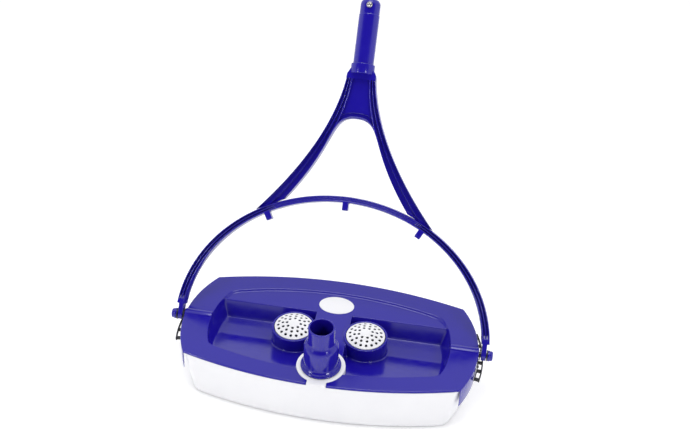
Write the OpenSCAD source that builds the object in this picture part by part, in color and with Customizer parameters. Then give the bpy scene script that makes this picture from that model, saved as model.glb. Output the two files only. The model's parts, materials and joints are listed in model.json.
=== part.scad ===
/* [Head] */
// Height of the head from the skirt's lower edge to the rim
head_h = 72.8; // [68:0.2:80]
// Gap that the wheels hold between the skirt and the floor
ground_gap = 3; // [2:0.5:5]
// Half the distance between the front corners of the rim
front_corner_x = 202.5; // [200:0.5:206]
// Distance of the front corners from the middle of the head
front_corner_y = 84.6; // [82:0.2:88]
// Half the distance between the back corners of the rim
back_corner_x = 192.5; // [190:0.5:196]
// Distance of the back corners from the middle of the head
back_corner_y = 87.2; // [85:0.2:90]
// How far the front edge bows out past its corners
front_bow = 29.6; // [27:0.2:32]
// How far the back edge bows out past its corners
back_bow = 27; // [25:0.2:30]
// How far each end bows out past its corners
end_bow = 24; // [22:0.5:25]
// Thickness of the cover's moulded wall
cover_wall = 2.8; // [2.4:0.1:3.2]
// Thickness of the lower shell's wall
shell_wall = 3; // [2.6:0.2:3.4]
// Step from the rim down to the sunk panel
panel_step = 2.8; // [2:0.2:3.5]
// Depth of the two trays below the panel
tray_depth = 25; // [20:0.5:27]
// Height of the end panels that hang from the rim
end_panel_h = 33; // [30:1:42]

/* [Suction connector] */
// Distance of the hose connector in front of the middle of the head
hose_y = 74.2; // [73:0.2:75]
// Height of the connector's mouth above the rim
hose_top = 73.7; // [65:0.5:85]
// Outer radius of the upper hose stub
stub_r = 19; // [18.5:0.5:19.5]
// Outer radius of the lower hose sleeve
sleeve_r = 25; // [24.5:0.5:25.5]
// Inner radius of the stub
stub_bore_r = 16.4; // [15:0.2:17]
// Outer radius of the white collar ring
ring_r = 35.5; // [35:0.5:37]
// Width of the neck that joins the collar ring to the front wall
neck_w = 28; // [24:1:32]

/* [Relief valves] */
// Half the distance between the two valve towers
tower_x = 54.2; // [53:0.2:56]
// Outer radius of a tower
tower_r = 32.7; // [32:0.1:33]
// Height of a tower above the rim
tower_top = 1.2; // [0.5:0.1:3]
// Outer radius of a perforated cap
cap_r = 28.7; // [28:0.1:29]
// Rise of the cap's dome
cap_rise = 7; // [5:0.5:9]
// Radius of a hole in the cap
cap_hole_r = 2.1; // [1.2:0.1:2.3]

/* [Handle] */
// Lean of the handle back from upright, in degrees
lean = 37; // [20:1:60]
// Height of the handle's pivot above the skirt's lower edge
pivot_up = 65.2; // [64:0.2:67]
// Outer half width of the handle's arch
arch_a = 238; // [236.5:0.5:239]
// Outer rise of the arch above the pivot
arch_b = 207.5; // [200:0.5:212]
// Width of the arch's rim, seen from the front
arch_w = 11; // [10:0.5:12]
// Depth of the handle from front to back
handle_t = 16; // [14:1:18]
// Distance from the pivot to the end of the pole spigot
handle_len = 505; // [500:1:530]
// Outer radius of the pole spigot
spigot_r = 15.5; // [15:0.1:16]
// Outer radius of the spigot's lead-in, where the lock buttons are
lead_r = 15; // [14.5:0.1:15.2]

/* [Running gear] */
// Radius of a wheel
wheel_r = 15; // [14:0.5:15]
// Width of a wheel
wheel_w = 10; // [8:1:11]
// Half the distance between the left and right wheels
wheel_x = 150; // [146:1:152]
// Half the distance between the front and rear wheels
wheel_y = 52; // [48:1:54]

/* [Hidden] */
$fn = 96;
blue = "#2A2494";
deep_blue = "#1B1680";
white = "#ECECEE";
black = "#26262A";
steel = "#B9BCC0";
rubber = "#1D1D1F";
nylon = "#F4F4F2";
eps = 0.01;

// Heights above the floor
rim_z = ground_gap + head_h;
panel_z = rim_z - panel_step;
tray_z = panel_z - tray_depth;
cover_under = rim_z - cover_wall;
gasket_h = 0.8;
shell_top = cover_under - gasket_h;
base_z = ground_gap + 7;
base_t = 3;
post_foot = base_z + base_t;

// Handle pivot and the shift that centres the whole part on the origin
pivot_z = ground_gap + pivot_up;
nose_fillet = 10;
nose_y = (handle_len - nose_fillet) * sin(lean) + (lead_r - nose_fillet) * cos(lean) + nose_fillet;
head_front = front_corner_y + front_bow;
head_y = (head_front - nose_y) / 2;

// Relief valve levels, from the seat up
seat_z = ground_gap + 49;
seat_t = 3;
seat_hub_h = 4;
stem_r = 3;
stem_top = seat_z + seat_t + 16;
plate_r = 19;
plate_t = 3;
valve_gap = 0.2;
tower_bore_r = 29.7;
tower_z = rim_z + tower_top;
cap_base_z = tower_z + 0.2;

// Hose connector levels
hose_z = rim_z + hose_top;
collar_under = rim_z - 8.5;
neck_r = 24;
flange_r = 29.4;
sleeve_top = ground_gap + 113;
stub_foot = ground_gap + 120;

// Pivot pins
pin_r = 4;
boss_r = 10;
boss_x = 222.3;
eye_in = 226;
eye_out = 233;
washer_t = 1.2;
pin_tip = 243;

// Levels along the handle, from the pivot
collar_foot = 392;
collar_h = 14;
lead_foot = 480;
button_v = 493;

// Ends of the head as arcs
end_mid = [(front_corner_x + back_corner_x) / 2, (back_corner_y - front_corner_y) / 2];
end_half = norm([front_corner_x - back_corner_x, front_corner_y + back_corner_y]) / 2;
end_r = (end_half * end_half + end_bow * end_bow) / (2 * end_bow);
end_tilt = atan2(front_corner_x - back_corner_x, front_corner_y + back_corner_y);
end_c = end_mid - (end_r - end_bow) * [cos(end_tilt), sin(end_tilt)];

// Points along an arc from p to q that bows out by "bow" on the right-hand side; q is left out
function arc(p, q, bow, n) =
    let (d = q - p, half = norm(d) / 2, r = (half * half + bow * bow) / (2 * bow), along = d / (2 * half),
        out = [along[1], -along[0]], c = (p + q) / 2 - out * (r - bow), a = asin(half / r))
    [for (i = [0:n - 1]) let (t = a * (2 * i / n - 1)) c + r * (out * cos(t) + along * sin(t))];

// Four bowed sides between four corners
function bowed(fx, fy, bx, by, fb, eb, bb, n) = concat(
    arc([-fx, -fy], [fx, -fy], fb, n), arc([fx, -fy], [bx, by], eb, n),
    arc([bx, by], [-bx, by], bb, n), arc([-bx, by], [-fx, -fy], eb, n));

// Plan of the head, drawn in by "e" at the ends and "f" at the front and back
function plan(e, f, n = 12) = bowed(front_corner_x - e, front_corner_y - f, back_corner_x - e, back_corner_y - f,
    front_bow, end_bow, back_bow, n);

// Plan of the sunk panel, drawn in by g
function panel_plan(g) = bowed(170.5 - g, 62.4 - g, 165 - g, 61.6 - g, 25.5, 13.4, 25.9, 12);

// Points of a cubic curve from a to d, with handles b and c
function cubic(a, b, c, d, n) = [for (i = [0:n]) let (t = i / n, s = 1 - t)
    a * pow(s, 3) + b * 3 * s * s * t + c * 3 * s * t * t + d * pow(t, 3)];

// Points of an ellipse with half axes a and b
function oval(a, b, n) = [for (i = [0:n - 1]) [a * cos(360 * i / n), b * sin(360 * i / n)]];

function flip(points) = [for (p = points) [-p[0], p[1]]];
function backwards(points) = [for (i = [len(points) - 1:-1:0]) points[i]];

module in_head() translate([0, head_y, 0]) children();
module in_handle() translate([0, head_y, pivot_z]) rotate([90 - lean, 0, 0]) children();
module slab(z0, z1) translate([0, 0, z0]) linear_extrude(z1 - z0) children();
module both_sides() { children(); mirror([1, 0, 0]) children(); }
module tube(ro, ri, z0, z1) difference() {
    translate([0, 0, z0]) cylinder(h = z1 - z0, r = ro);
    translate([0, 0, z0 - 1]) cylinder(h = z1 - z0 + 2, r = ri);
}
module along_x(x0, x1, r) translate([x0, 0, 0]) rotate([0, 90, 0]) cylinder(h = x1 - x0, r = r);

// ---- Cover ----

// One tray to the right of the bridge: back wall, floor and front slope, with a drafted end
module tray(grow, top) {
    bridge_half = 27;
    lip_y = 40.7;
    foot_y = 29.6;
    slope_y = -8;
    front_y = -100;
    slope = 0.26;
    inner_end_r = 150.4;
    inner_end_c = 30.7;
    draft = 11;
    floor_z = tray_z - grow;
    intersection() {
        translate([bridge_half - grow, 0, 0]) rotate([90, 0, 90]) linear_extrude(200) polygon([
            [lip_y + grow, top], [lip_y + grow, panel_z - grow], [foot_y + grow, floor_z], [slope_y, floor_z],
            [front_y, floor_z + slope * (slope_y - front_y)], [front_y, top]]);
        translate([inner_end_c, 0, floor_z]) cylinder(h = top - floor_z + eps, r1 = inner_end_r - draft + grow,
            r2 = inner_end_r + grow, $fn = 128);
        slab(floor_z - 1, top + 1) polygon(panel_plan(-grow));
    }
}

module cover_bosses(r, z0, z1) for (p = [[60, -100], [150, -84], [60, 98], [150, 82]])
    both_sides() translate([p[0], p[1], z0]) cylinder(h = z1 - z0, r = r, $fn = 32);

// Posts that hang from the cover and hold the base plate
module base_posts(r, z0, z1) for (p = [[112, 22], [96, 66], [96, -66]])
    both_sides() translate([p[0], p[1], z0]) cylinder(h = z1 - z0, r = r, $fn = 32);

module keyhole(clear) {
    translate([0, -hose_y]) circle(r = ring_r + clear, $fn = 128);
    translate([-neck_w / 2 - clear, -head_front - 5]) square([neck_w + 2 * clear, head_front + 5 - hose_y]);
}

// Disc under the rim that runs along the right end, drawn in by "inset"
module end_disc(inset) translate([end_c[0], end_c[1], rim_z - end_panel_h - 1])
    cylinder(h = end_panel_h - cover_wall + 2, r = end_r - inset, $fn = 180);

module top_cover() color(blue) in_head() difference() {
    union() {
        slab(cover_under, rim_z) polygon(plan(0, 0));
        slab(panel_z - cover_wall, panel_z) polygon(panel_plan(-cover_wall));
        difference() {
            slab(rim_z - end_panel_h, cover_under + eps) polygon(plan(0, 1));
            both_sides() end_disc(cover_wall);
        }
        both_sides() tray(cover_wall, panel_z - eps);
        both_sides() translate([tower_x, -2.8, tray_z - cover_wall]) cylinder(h = tower_z - tray_z + cover_wall, r = tower_r);
        both_sides() translate([0, 0, pivot_z]) along_x(181, boss_x, boss_r);
        cover_bosses(5, 42, cover_under + eps);
        base_posts(4.6, post_foot, panel_z - eps);
    }
    difference() {
        slab(panel_z, rim_z + 30) polygon(panel_plan(0));
        both_sides() translate([tower_x, -2.8, 0]) cylinder(h = tower_z + 1, r = tower_r);
        both_sides() translate([0, 0, pivot_z]) along_x(181, boss_x, boss_r);
    }
    difference() {
        both_sides() tray(0, panel_z + 1);
        both_sides() translate([tower_x, -2.8, 0]) cylinder(h = tower_z + 1, r = tower_r);
    }
    both_sides() translate([tower_x, -2.8, 0]) {
        translate([0, 0, seat_z]) cylinder(h = 60, r = tower_bore_r);
        translate([0, 0, 20]) cylinder(h = 60, r = tower_bore_r - 3);
    }
    slab(tray_z - 20, rim_z + 30) keyhole(0.4);
    both_sides() translate([0, 0, pivot_z]) along_x(198, boss_x + 1, pin_r);
    cover_bosses(1.6, 41, cover_under - 6);
    base_posts(1.8, post_foot - 1, 28);
    translate([0, 59.4, 0]) slab(panel_z - 1, panel_z + 1) polygon(oval(27.3, 19.3, 64));
}

module badge_plate() color(white) in_head() translate([0, 59.4, 0])
    slab(panel_z - 1, panel_z + 0.8) polygon(oval(27, 19, 64));

// ---- Lower shell ----

// Closed band of the lower body: an upper plan that fits the cover, drawn in towards the floor
module shell_form(inset) hull() {
    slab(shell_top - 1, shell_top + (inset > 0 ? 1 : 0)) polygon(plan(3.2 + inset, 0.3 + inset, 8));
    slab(ground_gap - (inset > 0 ? 1 : 0), ground_gap + 1) polygon(plan(13 + inset, 1.6 + inset, 8));
}

// Room for the pivot bosses, open to the top
module boss_notch() both_sides() {
    translate([0, 0, pivot_z]) along_x(176, boss_x + 2, boss_r + 0.4);
    translate([176, -boss_r - 0.4, pivot_z]) cube([boss_x - 174, 2 * boss_r + 0.8, 20]);
}

module lower_shell() color(white) in_head() difference() {
    union() {
        difference() {
            shell_form(0);
            shell_form(shell_wall);
        }
        // Collar ring, its neck and the shelf that carries it from the front wall
        translate([0, -hose_y, 56]) cylinder(h = rim_z - 56, r = ring_r);
        translate([-neck_w / 2, -head_front + 0.3, 56]) cube([neck_w, head_front - hose_y - 20, rim_z - 56]);
        // Screw bosses under the cover's bosses, each with a web to the wall
        cover_bosses(5.5, 17, 41.7);
        both_sides() for (p = [[60, -109], [150, -93]]) translate([p[0] - 1.5, p[1], 17]) cube([3, 10, 24]);
        both_sides() for (p = [[60, 98], [150, 82]]) translate([p[0] - 1.5, p[1], 17]) cube([3, 10, 24]);
    }
    translate([0, -hose_y, collar_under - eps]) cylinder(h = 20, r = neck_r + 0.08);
    translate([0, -hose_y, 50]) cylinder(h = collar_under - 50, r = 31);
    cover_bosses(2.2, 10, 50);
    boss_notch();
}

module shell_gasket() color(rubber) in_head() difference() {
    slab(shell_top, cover_under) polygon(plan(4, 1, 8));
    slab(shell_top - 1, cover_under + 1) polygon(plan(5.8, 2.8, 8));
    slab(shell_top - 1, cover_under + 1) keyhole(0.6);
    cover_bosses(6, shell_top - 1, cover_under + 1);
    boss_notch();
}

// Suction plate with its central slot and lip, wheel wells and axle ears
module base_plate() color(deep_blue) in_head() difference() {
    union() {
        slab(base_z, base_z + base_t) polygon(plan(19, 6.2, 8));
        slab(base_z + base_t - eps, base_z + base_t + 9) difference() {
            square([330, 34], center = true);
            square([324, 28], center = true);
        }
        for (x = [-wheel_x, wheel_x]) for (y = [-wheel_y, wheel_y]) for (s = [-1, 1])
            translate([x + s * (wheel_w / 2 + 2.8) - 1.8, y - 5, base_z]) cube([3.6, 10, 12]);
    }
    slab(base_z - 1, base_z + base_t + 1) square([320, 24], center = true);
    for (x = [-wheel_x, wheel_x]) for (y = [-wheel_y, wheel_y]) {
        translate([x - wheel_w / 2 - 1, y - wheel_r - 1.5, base_z - 1]) cube([wheel_w + 2, 2 * wheel_r + 3, base_t + 2]);
        translate([x, y, wheel_r]) along_x(-12, 12, 2.5);
        translate([x + wheel_w / 2 + 4.7, y - 4.2, base_z - 1]) cube([2.4, 8.4, 14]);
    }
    base_posts(2.2, base_z - 1, base_z + base_t + 1);
    base_posts(4.1, base_z - 1, base_z + 1.8);
}

module wheel(sx, sy) color(white) in_head() translate([sx * wheel_x, sy * wheel_y, wheel_r]) difference() {
    union() {
        along_x(-wheel_w / 2, wheel_w / 2, wheel_r - 1);
        along_x(-wheel_w / 2 + 1.5, wheel_w / 2 - 1.5, wheel_r);
    }
    along_x(-wheel_w, wheel_w, 2.55);
}
module front_left_wheel() wheel(-1, -1);
module front_right_wheel() wheel(1, -1);
module rear_left_wheel() wheel(-1, 1);
module rear_right_wheel() wheel(1, 1);

module wheel_axles() color(steel) in_head() for (x = [-wheel_x, wheel_x]) for (y = [-wheel_y, wheel_y])
    translate([x, y, wheel_r]) {
        along_x(-10.5, 10.5, 2.45);
        along_x(9.8, 11.4, 3.4);
    }

module brush_holder(y) color(black) in_head() difference() {
    translate([-126, y - 6, base_z - 4]) cube([252, 12, 4]);
    translate([-122, y - 3, base_z - 5]) cube([244, 6, 4]);
}
module front_brush_holder() brush_holder(-84);
module rear_brush_holder() brush_holder(84);

module bristle_row(y) color(white) in_head() translate([-121.5, y - 2.5, 0.5]) cube([243, 5, base_z - 1.5]);
module front_bristles() bristle_row(-84);
module rear_bristles() bristle_row(84);

module cover_screws() color(steel) in_head() {
    cover_bosses(1.6, 16, 62);
    cover_bosses(3.8, 14, 17);
}
module base_screws() color(steel) in_head() {
    base_posts(1.8, base_z + 1, 26);
    base_posts(3.8, base_z + 0.1, base_z + 1.8);
}

// ---- Relief valves ----

// A perforated dome on a skirt that plugs into the tower and holds the seat down
module relief_cap(sx) color(white) in_head() translate([sx * tower_x, -2.8, 0]) {
    dome_r = (cap_r * cap_r + cap_rise * cap_rise) / (2 * cap_rise);
    centre_z = cap_base_z + cap_rise - dome_r;
    difference() {
        intersection() {
            translate([0, 0, centre_z]) sphere(r = dome_r, $fn = 128);
            translate([0, 0, cap_base_z - 2]) cylinder(h = 20, r = cap_r);
        }
        translate([0, 0, centre_z]) sphere(r = dome_r - 2.2, $fn = 128);
        for (ring = [[10.4, 8], [16.7, 12], [23.4, 18]]) for (i = [0:ring[1] - 1])
            rotate(360 * (i + (sx > 0 ? 0.5 : 0)) / ring[1] - 90)
            translate([ring[0], 0, cap_base_z - 4]) cylinder(h = 20, r = cap_hole_r, $fn = 24);
    }
    tube(28.4, 26.4, seat_z + seat_t, cap_base_z);
}
module left_relief_cap() relief_cap(-1);
module right_relief_cap() relief_cap(1);

module valve_seat(sx) color(nylon) in_head() translate([sx * tower_x, -2.8, seat_z]) difference() {
    union() {
        cylinder(h = seat_t, r = 29.5);
        cylinder(h = seat_hub_h + seat_t, r = 5.5);
    }
    translate([0, 0, -1]) cylinder(h = 20, r = stem_r + 0.08);
    for (i = [0:5]) rotate(60 * i) translate([11.5, 0, -1]) cylinder(h = 10, r = 4.4);
}
module left_valve_seat() valve_seat(-1);
module right_valve_seat() valve_seat(1);

module valve_plate(sx) color(rubber) in_head() translate([sx * tower_x, -2.8, 0]) {
    translate([0, 0, seat_z - valve_gap - plate_t]) cylinder(h = plate_t, r = plate_r);
    translate([0, 0, seat_z - valve_gap - eps]) cylinder(h = stem_top - seat_z + valve_gap, r = stem_r);
}
module left_valve_plate() valve_plate(-1);
module right_valve_plate() valve_plate(1);

module stem_nut(sx) color(nylon) in_head() translate([sx * tower_x, -2.8, 0]) tube(8, stem_r, stem_top - 3, stem_top - 0.5);
module left_stem_nut() stem_nut(-1);
module right_stem_nut() stem_nut(1);

module valve_spring(sx) color(steel) in_head() translate([sx * tower_x, -2.8, 0])
    tube(5.2, 4.2, seat_z + seat_t + seat_hub_h, stem_top - 3);
module left_valve_spring() valve_spring(-1);
module right_valve_spring() valve_spring(1);

// ---- Hose connector ----

module hose_swivel() color(blue) in_head() translate([0, -hose_y, 0]) difference() {
    rotate_extrude($fn = 128) polygon([[0, 60], [neck_r, 60], [neck_r, rim_z + 1], [flange_r, rim_z + 1],
        [flange_r, rim_z + 3.4], [flange_r - 1.6, rim_z + 4.6], [flange_r - 1.6, rim_z + 6.6],
        [sleeve_r + 1, rim_z + 8.4], [sleeve_r, rim_z + 10], [sleeve_r, sleeve_top], [stub_r, stub_foot],
        [stub_r, hose_z - 0.8], [stub_r - 0.8, hose_z], [0, hose_z]]);
    translate([0, 0, 50]) cylinder(h = sleeve_top - 54, r = 21);
    translate([0, 0, sleeve_top - 4 - eps]) cylinder(h = 8, r1 = 21, r2 = stub_bore_r);
    translate([0, 0, 50]) cylinder(h = 120, r = stub_bore_r);
}

module swivel_ring() color(white) in_head() translate([0, -hose_y, 0]) tube(28, neck_r, collar_under - 3.3, collar_under - 0.3);

module throat_seal() color(rubber) in_head() translate([0, -hose_y, 0]) tube(28.6, neck_r, rim_z + 0.3, rim_z + 1);

// ---- Bumpers ----

module end_sector(r0, r1, a0, a1, z0, z1) translate([end_c[0], end_c[1], 0]) slab(z0, z1)
    polygon(concat([for (i = [0:16]) let (a = a0 + (a1 - a0) * i / 16) r1 * [cos(a), sin(a)]],
        [for (i = [16:-1:0]) let (a = a0 + (a1 - a0) * i / 16) r0 * [cos(a), sin(a)]]));

bumper_angles = [for (i = [0:5]) -10.4 + 5.9 * i];
bumper_z = 53.5;

// Outer strip on short ribs from a thin band that lies on the end wall
module bumper() color(black) in_head() difference() {
    union() {
        end_sector(end_r + 7, end_r + 9, -11.2, 21.4, bumper_z - 2.5, bumper_z + 2.5);
        end_sector(end_r + 0.5, end_r + 2, -11.2, 21.4, bumper_z - 2.5, bumper_z + 2.5);
        for (a = bumper_angles) end_sector(end_r + 1, end_r + 8, a - 0.7, a + 0.7, bumper_z - 2.5, bumper_z + 2.5);
    }
    bumper_screw_places(1.5);
}
module bumper_screw_places(r) for (i = [1, 3]) translate([end_c[0], end_c[1], bumper_z])
    rotate([0, 0, bumper_angles[i] + 2.95]) along_x(end_r - 4, end_r + 3.2, r);
module left_bumper() mirror([1, 0, 0]) bumper();
module right_bumper() bumper();
module bumper_screws() color(steel) both_sides() in_head() difference() {
    union() {
        bumper_screw_places(1.5);
        for (i = [1, 3]) translate([end_c[0], end_c[1], bumper_z]) rotate([0, 0, bumper_angles[i] + 2.95])
            along_x(end_r + 2.05, end_r + 3.6, 2.3);
    }
    end_sector(end_r - 10, end_r + 0.06, -12, 22, 48, 58);
}

// ---- Handle ----

module pivot_pin() color(blue) in_head() translate([0, 0, pivot_z]) {
    along_x(199, 236, pin_r);
    along_x(235.4, 238.6, 8);
    along_x(238.6 - eps, pin_tip - 1, 7.2);
    along_x(pin_tip - 1 - eps, pin_tip, 6);
}
module left_pivot_pin() mirror([1, 0, 0]) pivot_pin();
module right_pivot_pin() pivot_pin();

module washer_at(x) translate([0, 0, pivot_z]) difference() {
    along_x(x, x + washer_t, 8.4);
    along_x(x - 1, x + washer_t + 1, pin_r + 0.1);
}
module pivot_washers() color(nylon) in_head() both_sides() {
    washer_at(boss_x + 1.2);
    washer_at(eye_out + 0.8);
}

module pivot_bushes() color(nylon) in_head() both_sides() translate([0, 0, pivot_z]) difference() {
    along_x(eye_in, eye_out, 5.5);
    along_x(eye_in - 1, eye_out + 1, pin_r + 0.06);
}

// Front view of the wishbone: the arch, two curved legs, the crotch and the shoulders
arch_in_a = arch_a - arch_w - 2.5;
arch_in_b = arch_b - arch_w;
leg_outer = cubic([22, 390], [29, 324], [65, 250], [134, 172], 12);
leg_inner = cubic([0, 324], [40.1, 324], [22, 284.7], [92, 192.5], 14);
module arch_ring(grow) intersection() {
    difference() {
        polygon(oval(arch_a + grow, arch_b + grow, 120));
        polygon(oval(arch_in_a - grow, arch_in_b - grow, 120));
    }
    translate([-300, 17]) square([600, 300]);
}
module legs_plan() difference() {
    polygon(concat([[-17.9, 397], [17.9, 397]], leg_outer, [[100, 176]], flip([[100, 176]]), backwards(flip(leg_outer))));
    polygon(concat(leg_inner, backwards(flip(leg_inner))));
    polygon(oval(arch_in_a, arch_in_b, 120));
}
// Grooves sunk into the front and back faces along the arch and the legs
module groove_plan() {
    intersection() {
        difference() {
            polygon(oval(arch_a - 2.6, arch_b - 2.6, 120));
            polygon(oval(arch_in_a + 2.6, arch_in_b + 2.6, 120));
        }
        translate([-300, 24]) square([600, 300]);
        difference() {
            translate([-300, 0]) square([600, 400]);
            for (s = [-1, 1]) translate([s * 113, 178]) circle(r = 26);
        }
    }
    for (s = [-1, 1]) polygon([for (i = [1:11]) [s * (leg_outer[i][0] - 3.4), leg_outer[i][1] - 1.4],
        for (i = [11:-1:1]) [s * (leg_outer[i][0] - 7.2), leg_outer[i][1] - 3]]);
}
module handle_frame() color(blue) in_handle() difference() {
    union() {
        translate([0, 0, -handle_t / 2]) linear_extrude(handle_t) {
            arch_ring(0);
            legs_plan();
            for (p = [[0, 186], [-109, 164], [109, 164]]) translate(p) translate([-4.5, 0]) square([9, 12]);
        }
        both_sides() {
            translate([eye_in, 0, -handle_t / 2]) cube([eye_out - eye_in, 24, handle_t]);
            along_x(eye_in, eye_out, handle_t / 2);
        }
        // Collar, pole spigot and its slimmer lead-in
        translate([0, collar_foot, 0]) rotate([-90, 0, 0]) {
            cylinder(h = collar_h, r = 18);
            cylinder(h = lead_foot - collar_foot, r = spigot_r);
            cylinder(h = handle_len - collar_foot - nose_fillet, r = lead_r);
            translate([0, 0, handle_len - collar_foot - nose_fillet]) rotate_extrude() intersection() {
                union() {
                    square([lead_r - nose_fillet, nose_fillet]);
                    translate([lead_r - nose_fillet, 0]) circle(r = nose_fillet, $fn = 48);
                }
                square([lead_r, nose_fillet]);
            }
        }
    }
    for (s = [-1, 1]) translate([0, 0, s > 0 ? handle_t / 2 - 5 : -handle_t / 2 - 1]) linear_extrude(6) groove_plan();
    both_sides() along_x(eye_in - 1, eye_out + 1, 5.55);
    translate([0, 440, 0]) rotate([-90, 0, 0]) cylinder(h = 100, r = 11.5);
    translate([0, button_v, -20]) cylinder(h = 40, r = 4.6);
}

// Domed lock buttons that stand out of the spigot's front and back
module lock_button() translate([0, button_v, 0]) {
    translate([0, 0, 8]) cylinder(h = 9, r = 4.5);
    translate([0, 0, 17 - eps]) cylinder(h = 1.2, r1 = 4.5, r2 = 3);
}
module front_lock_button() color(steel) in_handle() lock_button();
module rear_lock_button() color(steel) in_handle() mirror([0, 0, 1]) lock_button();

module lock_spring() color(steel) in_handle() translate([-4, 0, 0]) rotate([0, 90, 0]) linear_extrude(8) difference() {
    union() {
        translate([-8, 452]) square([16, 45]);
        translate([0, 452]) circle(r = 8);
    }
    translate([-6.8, 452]) square([13.6, 50]);
    translate([0, 452]) circle(r = 6.8);
}

top_cover();
lower_shell();
base_plate();
shell_gasket();
badge_plate();
left_relief_cap();
right_relief_cap();
left_valve_seat();
right_valve_seat();
left_valve_plate();
right_valve_plate();
left_stem_nut();
right_stem_nut();
left_valve_spring();
right_valve_spring();
left_bumper();
right_bumper();
bumper_screws();
left_pivot_pin();
right_pivot_pin();
pivot_washers();
pivot_bushes();
handle_frame();
front_lock_button();
rear_lock_button();
lock_spring();
hose_swivel();
swivel_ring();
throat_seal();
front_brush_holder();
rear_brush_holder();
front_bristles();
rear_bristles();
front_left_wheel();
front_right_wheel();
rear_left_wheel();
rear_right_wheel();
wheel_axles();
cover_screws();
base_screws();
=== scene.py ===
# A manual pool vacuum head, dressed around its fixed frame.
# Settings and shapes are in millimetres, in the head's own frame (x along the head, y from its middle, z from
# the floor) or the handle's (across, along from the pivot, forward); toHead and toHandle make both metres.
import json
import math
import bpy
import bmesh
import numpy as np
from mathutils import Matrix, Vector


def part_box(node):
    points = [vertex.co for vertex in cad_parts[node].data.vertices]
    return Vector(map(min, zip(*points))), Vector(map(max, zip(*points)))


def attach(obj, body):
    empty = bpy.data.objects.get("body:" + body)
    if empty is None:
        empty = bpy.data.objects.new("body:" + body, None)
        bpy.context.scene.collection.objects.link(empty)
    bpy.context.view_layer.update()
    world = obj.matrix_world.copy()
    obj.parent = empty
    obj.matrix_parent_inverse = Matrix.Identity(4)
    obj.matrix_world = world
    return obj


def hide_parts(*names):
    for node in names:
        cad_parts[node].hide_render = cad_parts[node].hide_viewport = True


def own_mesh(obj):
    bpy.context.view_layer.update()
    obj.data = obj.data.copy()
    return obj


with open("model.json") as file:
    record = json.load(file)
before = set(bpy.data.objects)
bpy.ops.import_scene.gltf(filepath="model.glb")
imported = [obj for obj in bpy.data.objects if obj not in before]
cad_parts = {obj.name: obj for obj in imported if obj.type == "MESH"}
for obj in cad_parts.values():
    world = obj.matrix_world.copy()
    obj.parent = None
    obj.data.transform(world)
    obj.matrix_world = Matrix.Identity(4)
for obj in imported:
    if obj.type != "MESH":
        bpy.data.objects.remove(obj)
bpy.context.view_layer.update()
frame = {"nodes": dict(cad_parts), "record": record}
rng = np.random.default_rng(7)


# Middle of a frame node's box, in millimetres.
def boxMiddle(node):
    low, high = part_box(node)
    return (np.array(low) + np.array(high)) * 500


# Places and heights that several pieces share, and the handle's lean at rest
headY = boxMiddle("lower_shell")[1]
pivotZ = boxMiddle("left_pivot_pin")[2]
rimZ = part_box("lower_shell")[1].z * 1000
panelZ = rimZ - 2.8  # the panel lies a little under the rim
towerTop = rimZ + 1.2  # and the towers stand a little over it
towerX = boxMiddle("right_relief_cap")[0]
towerY = boxMiddle("right_relief_cap")[1] - headY
hoseY = boxMiddle("hose_swivel")[1] - headY
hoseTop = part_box("hose_swivel")[1].z * 1000
lean = math.radians(37)


# Head millimetres to metres: moved to where the head stands.
def toHead(points):
    return (points + np.array([0, headY, 0])) * 0.001


# Handle millimetres to metres: leaned back about the pivot line.
def toHandle(points):
    across, along, forward = points.T
    s, c = math.sin(lean), math.cos(lean)
    y, z = along * s - forward * c + headY, along * c + forward * s + pivotZ
    return np.stack([across, y, z], axis=1) * 0.001


# Quads between neighbours of a grid of points, joined round where a direction wraps.
def gridFaces(rows, columns, wrapRows=False, wrapColumns=False):
    row, column = np.meshgrid(np.arange(rows if wrapRows else rows - 1),
                              np.arange(columns if wrapColumns else columns - 1), indexing="ij")
    row, column = row.ravel(), column.ravel()
    here, there, across = row * columns, (row + 1) % rows * columns, (column + 1) % columns
    return np.stack([here + column, here + across, there + across, there + column], axis=1)


# Faces of a closed sheet: a grid, the same grid turned over below it, and a band round the edge.
def sheetFaces(rows, columns):
    count = rows * columns
    faces = gridFaces(rows, columns)
    k = np.arange(count).reshape(rows, columns)
    ring = np.concatenate([k[0, :-1], k[:-1, -1], k[-1, :0:-1], k[:0:-1, 0]])
    onward = np.roll(ring, -1)
    return [faces, faces[:, ::-1] + count, np.stack([ring, ring + count, onward + count, onward], axis=1)]


# Each corner of a closed outline becomes a quadratic curve that starts and ends one radius away from it
# along its two edges; outlines may be stacked.
def roundedCorners(corners, radii, steps=4):
    corners = np.asarray(corners, float)
    arms = []
    for shift in (1, -1):
        arm = np.roll(corners, shift, axis=-2) - corners
        length = np.maximum(np.linalg.norm(arm, axis=-1), 1e-9)
        arms.append((arm * (np.minimum(radii, length * 0.49) / length)[..., None])[..., None, :])
    t = np.linspace(0, 1, steps + 1)[:, None]
    curve = (1 - t) ** 2 * arms[0] + t ** 2 * arms[1] + corners[..., None, :]
    return curve.reshape(*corners.shape[:-2], -1, 2)


# Radius and height are carried once round an axis. Lobes, where given, are a soft cosine ripple cut into the
# radius: count, depth, lowest and highest height, and the radius inside which it stays round.
def lathe(profile, centre, steps=96, alongX=False, closed=True, lobes=None):
    turn = np.linspace(0, 2 * np.pi, steps, endpoint=False)[:, None]
    radius, height = np.broadcast_arrays(profile[:, 0][None], profile[:, 1][None] + 0 * turn)
    if lobes:
        count, depth, low, high, plain = lobes
        inside = (height > low) & (height < high) & (radius > plain)
        radius = radius - inside * depth * (0.5 - 0.5 * np.cos(count * turn)) ** 3
    ring = [radius * np.cos(turn), radius * np.sin(turn), height]
    if alongX:
        ring = [ring[2], ring[0], ring[1]]
    points = np.stack(ring, axis=-1).reshape(-1, 3) + np.asarray(centre, float)
    return points, [gridFaces(steps, len(profile), True, closed)]


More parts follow.
